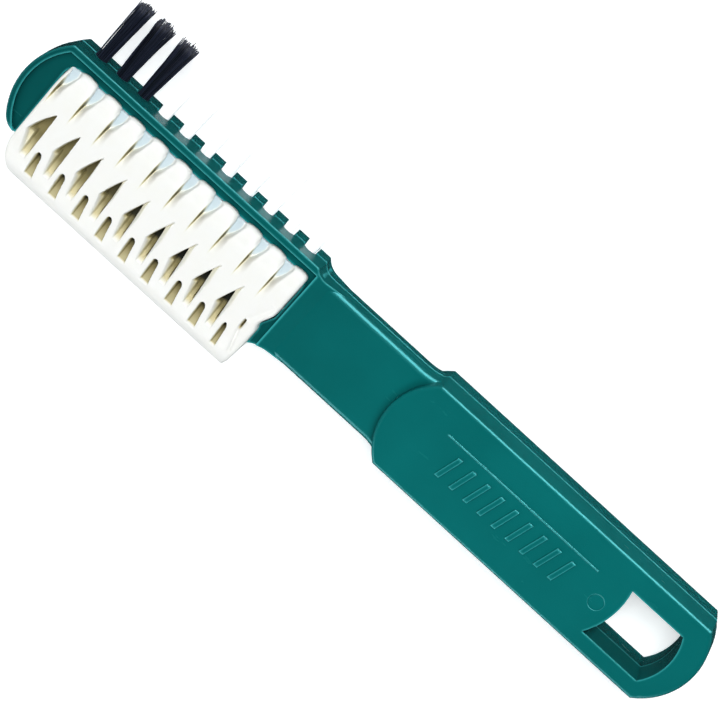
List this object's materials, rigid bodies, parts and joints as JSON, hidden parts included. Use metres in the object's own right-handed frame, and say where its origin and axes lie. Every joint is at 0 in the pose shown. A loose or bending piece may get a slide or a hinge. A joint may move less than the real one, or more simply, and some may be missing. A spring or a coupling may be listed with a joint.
{
  "type": "suede brush",
  "caption": "Hand brush for suede with a bulging lamella rubber block, a side row of bristle tufts and a two-shell plastic handle with a hanging hole.",
  "frame": {"origin": "middle of the underside of the whole brush lying on its back, under the middle of its length and of its width over bristles and rubber", "axes": "+X along the brush from the nose of the head to the end of the grip, +Y the way the bristles point, +Z out of the front face with the raised marks"},
  "size_m": [0.2, 0.0497, 0.018],
  "materials": {
    "green_plastic": "satin moulded plastic, deep green",
    "crepe_rubber": "matt cream rubber",
    "strip_plastic": "natural plastic",
    "black_nylon": "black bristle filaments",
    "white_nylon": "white bristle filaments",
    "staple_metal": "drawn flat wire"
  },
  "bodies": {
    "root": {"front_shell": "green_plastic", "back_shell": "green_plastic", "rubber_block": "crepe_rubber", "bristle_strip": "strip_plastic", "black_tuft_1": "black_nylon", "black_tuft_2": "black_nylon", "black_tuft_3": "black_nylon", "white_tuft_1": "white_nylon", "white_tuft_2": "white_nylon", "white_tuft_3": "white_nylon", "white_tuft_4": "white_nylon", "white_tuft_5": "white_nylon", "white_tuft_6": "white_nylon", "white_tuft_7": "white_nylon", "white_tuft_8": "white_nylon", "tuft_anchor_01": "staple_metal", "tuft_anchor_02": "staple_metal", "tuft_anchor_03": "staple_metal", "tuft_anchor_04": "staple_metal", "tuft_anchor_05": "staple_metal", "tuft_anchor_06": "staple_metal", "tuft_anchor_07": "staple_metal", "tuft_anchor_08": "staple_metal", "tuft_anchor_09": "staple_metal", "tuft_anchor_10": "staple_metal", "tuft_anchor_11": "staple_metal"}
  },
  "joints": []
}
